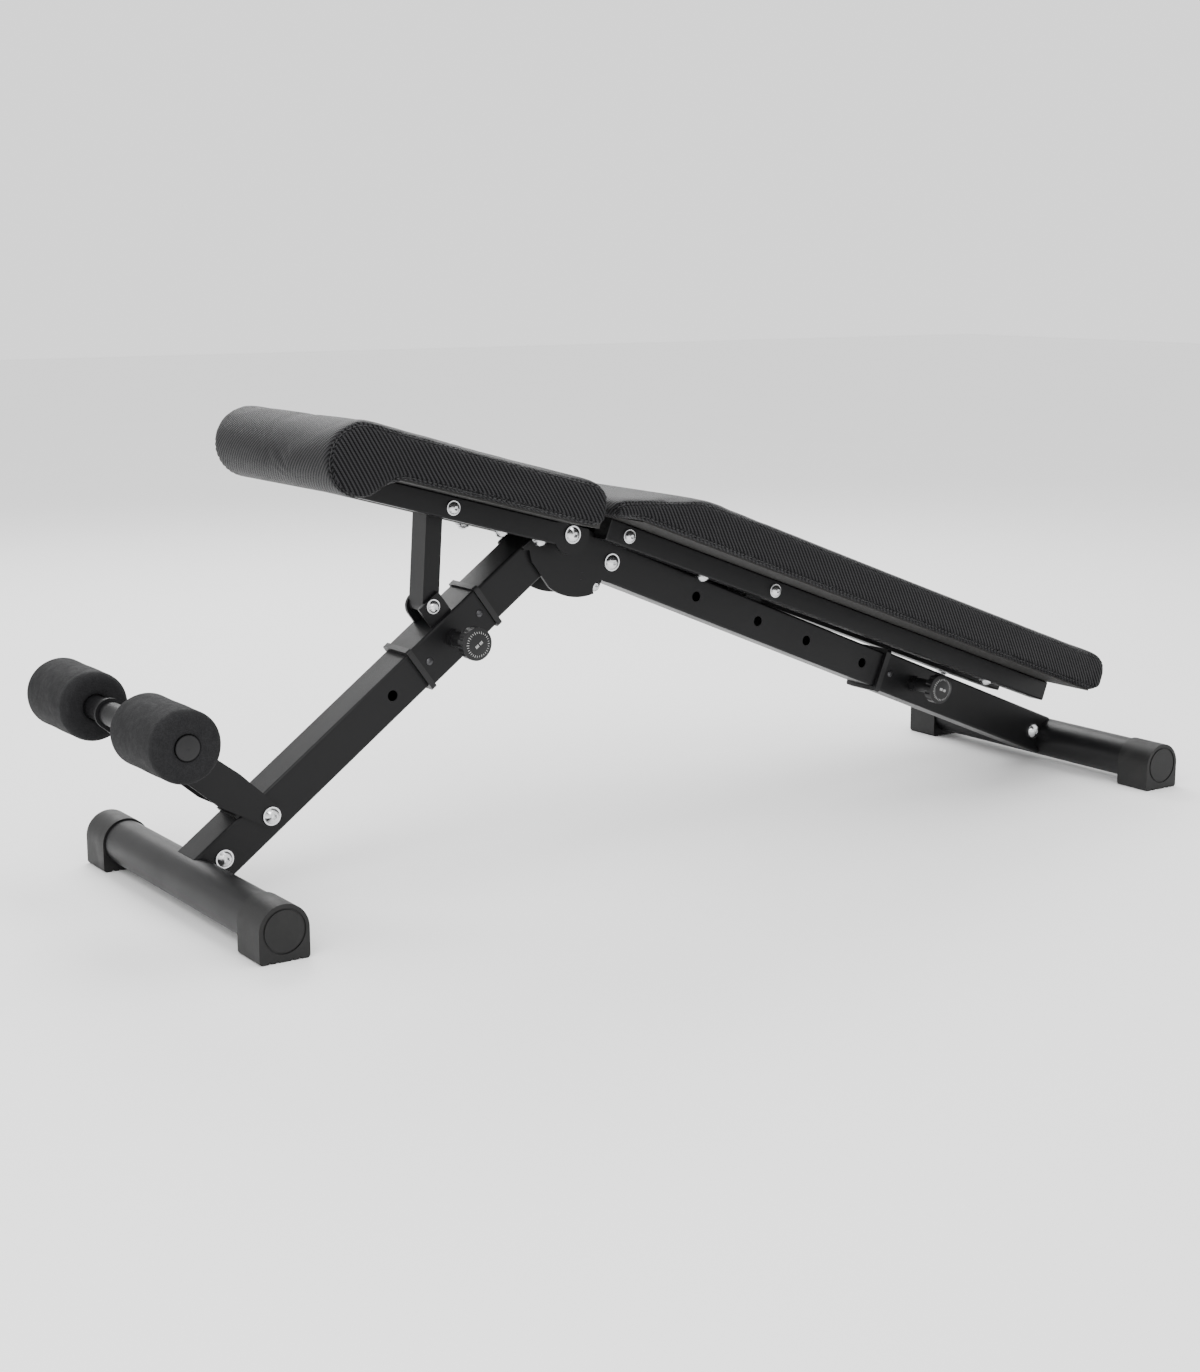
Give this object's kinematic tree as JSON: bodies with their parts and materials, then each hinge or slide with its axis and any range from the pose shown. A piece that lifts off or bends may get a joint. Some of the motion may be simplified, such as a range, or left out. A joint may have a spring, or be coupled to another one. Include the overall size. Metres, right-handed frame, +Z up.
{
  "type": "adjustable weight bench",
  "caption": "Black adjustable weight bench with a tilting seat, long back pad, leg rollers, a folding main beam and a telescopic rear leg with pull pins",
  "frame": {"origin": "on the floor, under the middle of the whole bench", "axes": "+X from the rollers towards the rear leg, +Y away from the pull knobs, +Z up"},
  "size_m": [1.3646, 0.44, 0.5075],
  "materials": {
    "powder_coated_steel": "satin",
    "zinc_bolts": "polished",
    "dark_screws": "satin",
    "roller_foam": "matte",
    "rubber_feet": "matte",
    "black_plastic": "satin",
    "pad_board": "matte",
    "pad_vinyl": "satin"
  },
  "bodies": {
    "front_frame": {"front_base_tube": "powder_coated_steel", "front_foot_near": "rubber_feet", "front_foot_far": "rubber_feet", "front_base_stub": "powder_coated_steel", "front_post": "powder_coated_steel", "post_base_bolt": "zinc_bolts", "hub_plate_near": "powder_coated_steel", "hub_plate_far": "powder_coated_steel", "hub_stop_bar": "powder_coated_steel", "hub_pivot_bolt": "zinc_bolts", "seat_pivot_bolt": "zinc_bolts", "seat_pivot_spacers": "zinc_bolts", "bracket_bolt": "zinc_bolts"},
    "roller_bracket": {"roller_plate_near": "powder_coated_steel", "roller_plate_far": "powder_coated_steel", "roller_bracket_web": "powder_coated_steel", "roller_axle": "powder_coated_steel", "axle_plugs": "black_plastic"},
    "near_roller": {"foam_roller_near": "roller_foam"},
    "far_roller": {"foam_roller_far": "roller_foam"},
    "sleeve": {"seat_sleeve": "powder_coated_steel", "sleeve_collars": "black_plastic", "sleeve_screws": "dark_screws", "strut_lower_bolt": "zinc_bolts", "seat_pin_barrel": "black_plastic", "seat_pin_spring": "zinc_bolts"},
    "seat_pin": {"seat_pin_plunger": "zinc_bolts", "seat_pin_knob": "black_plastic"},
    "strut": {"seat_strut": "powder_coated_steel"},
    "seat": {"seat_rail_near": "powder_coated_steel", "seat_rail_far": "powder_coated_steel", "seat_rail_plugs": "black_plastic", "seat_board": "pad_board", "seat_pad": "pad_vinyl", "seat_pad_bolts": "zinc_bolts", "strut_upper_bolt": "zinc_bolts", "strut_spacers": "zinc_bolts"},
    "main_beam": {"main_tube": "powder_coated_steel", "rail_brackets": "powder_coated_steel", "rail_spacers": "zinc_bolts", "back_rail_near": "powder_coated_steel", "back_rail_far": "powder_coated_steel", "back_rail_plugs": "black_plastic", "back_rail_bolts": "zinc_bolts", "back_board": "pad_board", "back_pad": "pad_vinyl", "back_pad_bolts": "zinc_bolts", "beam_lug_bolt": "zinc_bolts"},
    "rear_leg": {"rear_leg_tube": "powder_coated_steel", "leg_collar": "black_plastic", "leg_collar_screws": "dark_screws", "rear_base_stub": "powder_coated_steel", "rear_base_tube": "powder_coated_steel", "rear_foot_near": "rubber_feet", "rear_foot_far": "rubber_feet", "leg_base_bolt": "zinc_bolts", "leg_pin_barrel": "black_plastic", "leg_pin_spring": "zinc_bolts"},
    "leg_pin": {"leg_pin_plunger": "zinc_bolts", "leg_pin_knob": "black_plastic"}
  },
  "joints": [
    {"name": "beam_fold", "type": "hinge", "parent": "front_frame", "child": "main_beam", "pos_m": [-0.06157, 0, 0.325], "axis": [0, 1, 0], "range_deg": [0, 90]},
    {"name": "leg_slide", "type": "slide", "parent": "main_beam", "child": "rear_leg", "axis": [-0.9252, 0, 0.3795], "range_m": [0, 0.191]},
    {"name": "seat_tilt", "type": "hinge", "parent": "front_frame", "child": "seat", "pos_m": [-0.13227, 0, 0.3643], "axis": [0, 1, 0], "range_deg": [-13.09, 0]},
    {"name": "sleeve_slide", "type": "slide", "parent": "front_frame", "child": "sleeve", "axis": [-0.8039, 0, -0.5948], "range_m": [0, 0.0472]},
    {"name": "strut_swing", "type": "hinge", "parent": "sleeve", "child": "strut", "pos_m": [-0.29121, 0, 0.29389], "axis": [0, 1, 0], "range_deg": [0, 17.7]},
    {"name": "roller_bracket_fold", "type": "hinge", "parent": "front_frame", "child": "roller_bracket", "pos_m": [-0.49304, 0, 0.09155], "axis": [0, 1, 0], "range_deg": [0, 68]},
    {"name": "near_roller_spin", "type": "hinge", "parent": "roller_bracket", "child": "near_roller", "pos_m": [-0.64477, -0.115, 0.21], "axis": [0, 1, 0], "continuous": true},
    {"name": "far_roller_spin", "type": "hinge", "parent": "roller_bracket", "child": "far_roller", "pos_m": [-0.64477, 0.115, 0.21], "axis": [0, 1, 0], "continuous": true},
    {"name": "seat_pin_pull", "type": "slide", "parent": "sleeve", "child": "seat_pin", "axis": [0, -1, 0], "range_m": [0, 0.01], "stiffness_N_per_m": 600, "springref_m": -0.005},
    {"name": "leg_pin_pull", "type": "slide", "parent": "rear_leg", "child": "leg_pin", "axis": [0, -1, 0], "range_m": [0, 0.01], "stiffness_N_per_m": 600, "springref_m": -0.005}
  ],
  "couplings": [
    {"joint": "sleeve_slide", "follows": "seat_tilt", "m_per_rad": -0.2062},
    {"joint": "strut_swing", "follows": "seat_tilt", "ratio": -1.351}
  ]
}
